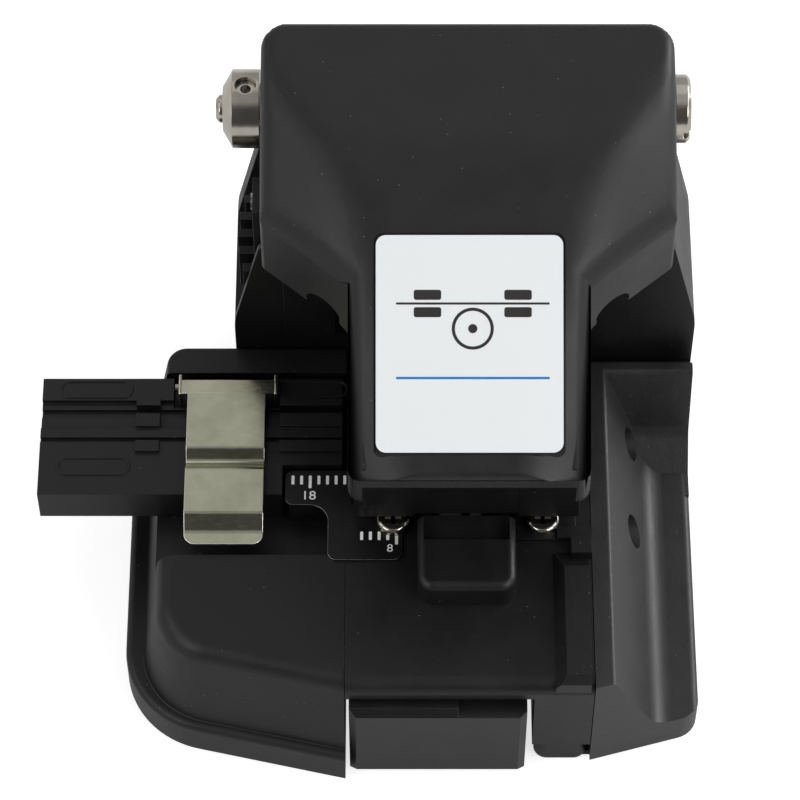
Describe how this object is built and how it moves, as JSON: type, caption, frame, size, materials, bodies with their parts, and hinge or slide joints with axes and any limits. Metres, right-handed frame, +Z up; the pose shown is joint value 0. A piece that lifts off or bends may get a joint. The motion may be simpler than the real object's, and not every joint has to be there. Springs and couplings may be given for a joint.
{
  "type": "fibre_cleaver",
  "caption": "Black benchtop fibre-optic cleaver: hinged sloped lid over a push-through blade carriage, with a side fibre adapter, spring clip and short ruler.",
  "frame": {"origin": "on the table, under the point where the blade's plane crosses the fibre", "axes": "+X along the fibre, from the adapter's side to the scrap side; +Y from the pusher to the hinge; +Z up"},
  "size_m": [0.0765, 0.0664, 0.0585],
  "materials": {
    "cast": "satin",
    "adapter_coat": "satin",
    "blacked_steel": "satin",
    "steel": "brushed",
    "nickel": "polished",
    "clip_steel": "polished",
    "carbide": "satin",
    "rubber": "matte",
    "label_film": "gloss",
    "scale_coat": "satin"
  },
  "bodies": {
    "housing": {"base_plate": "cast", "rubber_mat": "rubber", "centre_frame": "cast", "rear_housing": "cast", "left_wing": "cast", "right_wing": "cast", "linear_rails": "steel", "lower_clamp_blocks": "steel", "lower_clamp_pads": "rubber", "clamp_magnets": "nickel", "scale_plate": "scale_coat", "deck_screws": "nickel", "base_screws": "steel", "hinge_pin": "nickel", "hinge_collar": "nickel", "collar_set_screw": "nickel", "hinge_washers": "nickel", "lid_spring": "steel", "lock_rivets": "steel"},
    "lid": {"lid_shell": "cast", "label_plate": "label_film", "clamp_carriers": "blacked_steel", "upper_clamp_pads": "rubber", "carrier_screws": "steel", "anvil_pivot_pin": "steel"},
    "anvil": {"anvil_arm": "blacked_steel", "anvil_pad": "rubber"},
    "pusher": {"slider_block": "blacked_steel", "blade_carriage": "blacked_steel", "rail_runners": "steel", "carriage_screws": "steel", "blade_axle": "steel", "blade_lock_screw": "steel"},
    "blade": {"blade_wheel": "carbide", "blade_hub": "nickel"},
    "adapter": {"adapter_body": "adapter_coat", "adapter_magnets": "nickel", "clip_pin": "steel"},
    "clip": {"fibre_clip": "clip_steel"},
    "side_lock": {"lock_slider": "blacked_steel", "lock_pin": "steel"}
  },
  "joints": [
    {"name": "lid_hinge", "type": "hinge", "parent": "housing", "child": "lid", "pos_m": [0, 0.0267, 0.0485], "axis": [-1, 0, 0], "range_deg": [0, 70]},
    {"name": "pusher_slide", "type": "slide", "parent": "housing", "child": "pusher", "axis": [0, 1, 0], "range_m": [0, 0.024]},
    {"name": "blade_index", "type": "hinge", "parent": "pusher", "child": "blade", "pos_m": [0, -0.014, 0.011], "axis": [1, 0, 0], "continuous": true},
    {"name": "anvil_swing", "type": "hinge", "parent": "lid", "child": "anvil", "pos_m": [0, 0.0065, 0.033], "axis": [1, 0, 0], "range_deg": [0, 3], "stiffness_Nm_per_rad": 0.02, "springref_deg": -5.73},
    {"name": "adapter_lift", "type": "slide", "parent": "housing", "child": "adapter", "axis": [0, 0, 1], "range_m": [0, 0.006]},
    {"name": "clip_hinge", "type": "hinge", "parent": "adapter", "child": "clip", "pos_m": [-0.028, 0.007, 0.0202], "axis": [-1, 0, 0], "range_deg": [0, 90]},
    {"name": "side_lock_slide", "type": "slide", "parent": "housing", "child": "side_lock", "axis": [0, 1, 0], "range_m": [0, 0.003]}
  ]
}
